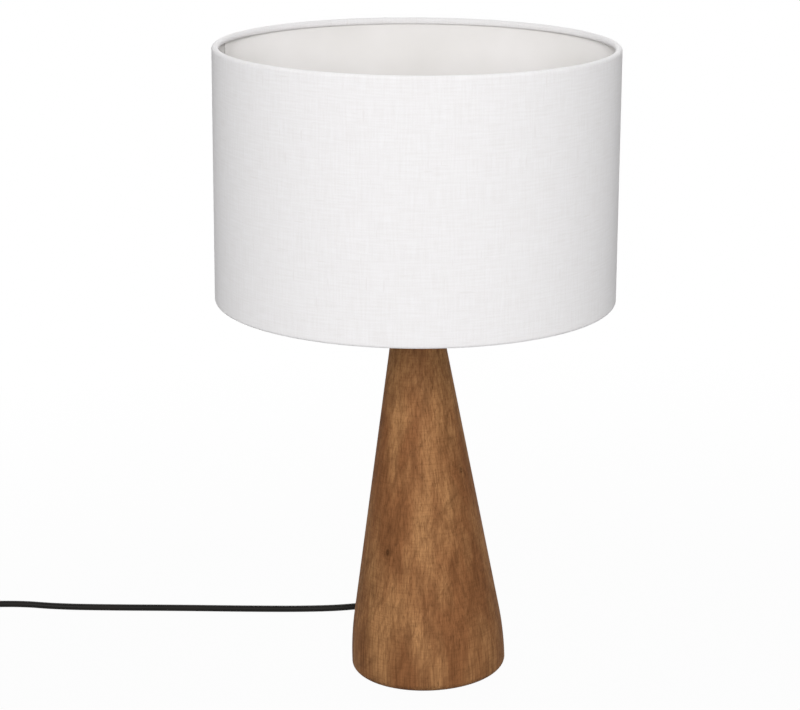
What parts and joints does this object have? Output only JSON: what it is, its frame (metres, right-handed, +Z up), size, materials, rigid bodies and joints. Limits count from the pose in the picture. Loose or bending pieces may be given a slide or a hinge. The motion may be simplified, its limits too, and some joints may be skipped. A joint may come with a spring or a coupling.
{
  "type": "table lamp",
  "caption": "Table lamp with a turned tapering wooden column, a white fabric drum shade on a wire spider, a screw-in bulb and a black cord with a hand switch and plug.",
  "frame": {"origin": "centre of the felt pad's underside, where the lamp stands", "axes": "+Z up along the column, +Y to the back where the cord leaves, +X to the right as pictured"},
  "size_m": [0.5954, 0.2895, 0.4605],
  "materials": {
    "stained_wood": "stained and satin lacquered, turned",
    "felt": "pressed felt",
    "plated_steel": "zinc plated",
    "screw_steel": "bright screw steel",
    "holder_plastic": "moulded, satin",
    "holder_ceramic": "glazed steatite",
    "contact_brass": "stamped, bare",
    "cord_jacket": "extruded, soft sheen",
    "core_insulation": "extruded, smooth",
    "spider_paint": "powder coated white",
    "shade_fabric": "slub weave laminated to a stiff lining",
    "shade_lining": "white film, matt",
    "bulb_opal": "opal, smooth",
    "bulb_housing": "moulded, white",
    "bulb_cap_metal": "rolled thread, nickel plated",
    "bulb_insulation": "black vitrified",
    "switch_plastic": "moulded, fine spark texture",
    "rocker_plastic": "moulded, glossy",
    "plug_plastic": "moulded, soft",
    "pin_metal": "nickel plated brass",
    "tie_strap": "woven hook-and-loop strap"
  },
  "bodies": {
    "column": {"wood_column": "stained_wood", "base_pad": "felt", "threaded_tube": "plated_steel", "base_washer": "plated_steel", "lock_washer": "plated_steel", "base_nut": "plated_steel", "column_plate": "plated_steel", "strain_relief": "cord_jacket", "inner_lead": "cord_jacket", "holder_cap": "holder_plastic", "cap_set_screw": "screw_steel", "holder_skirt": "holder_plastic", "holder_insert": "holder_ceramic", "contact_sleeve": "contact_brass", "centre_contact": "contact_brass", "terminal_blocks": "contact_brass", "terminal_screws": "screw_steel", "core_wires": "core_insulation", "switch_base": "switch_plastic", "switch_cover": "switch_plastic", "switch_screws": "screw_steel", "switch_strips": "contact_brass", "switch_wires": "core_insulation", "plug_body": "plug_plastic", "plug_pins": "pin_metal", "pin_sleeves": "plug_plastic", "cord_lead": "cord_jacket", "cord_tail": "cord_jacket", "plug_lead": "cord_jacket", "cord_coil": "cord_jacket", "cord_tie": "tie_strap"},
    "shade": {"fitter_ring": "spider_paint", "spider_arms": "spider_paint", "bottom_wire_ring": "spider_paint", "top_wire_ring": "spider_paint", "shade_cover": "shade_fabric", "shade_lining": "shade_lining", "seam_strip": "shade_lining"},
    "shade_ring": {"shade_ring": "holder_plastic"},
    "bulb_foot": {"bulb_contact": "contact_brass", "bulb_insulator": "bulb_insulation"},
    "bulb": {"bulb_cap": "bulb_cap_metal", "bulb_collar": "bulb_housing", "bulb_dome": "bulb_opal"},
    "rocker": {"switch_rocker": "rocker_plastic"}
  },
  "joints": [
    {"name": "shade_turn", "type": "hinge", "parent": "column", "child": "shade", "pos_m": [0, 0, 0.29475], "axis": [0, 0, 1], "continuous": true},
    {"name": "shade_ring_turn", "type": "hinge", "parent": "column", "child": "shade_ring", "pos_m": [0, 0, 0.2955], "axis": [0, 0, 1], "range_deg": [0, 1080]},
    {"name": "bulb_rise", "type": "slide", "parent": "column", "child": "bulb_foot", "axis": [0, 0, 1], "range_m": [0, 0.0236]},
    {"name": "bulb_turn", "type": "hinge", "parent": "bulb_foot", "child": "bulb", "pos_m": [0, 0, 0.3], "axis": [0, 0, 1], "range_deg": [0, 2331.2]},
    {"name": "switch_rock", "type": "hinge", "parent": "column", "child": "rocker", "pos_m": [-0.375, 0.136, 0.013], "axis": [0, 1, 0], "range_deg": [0, 12]}
  ],
  "couplings": [
    {"joint": "bulb_rise", "follows": "bulb_turn", "m_per_rad": 0.00057757}
  ]
}
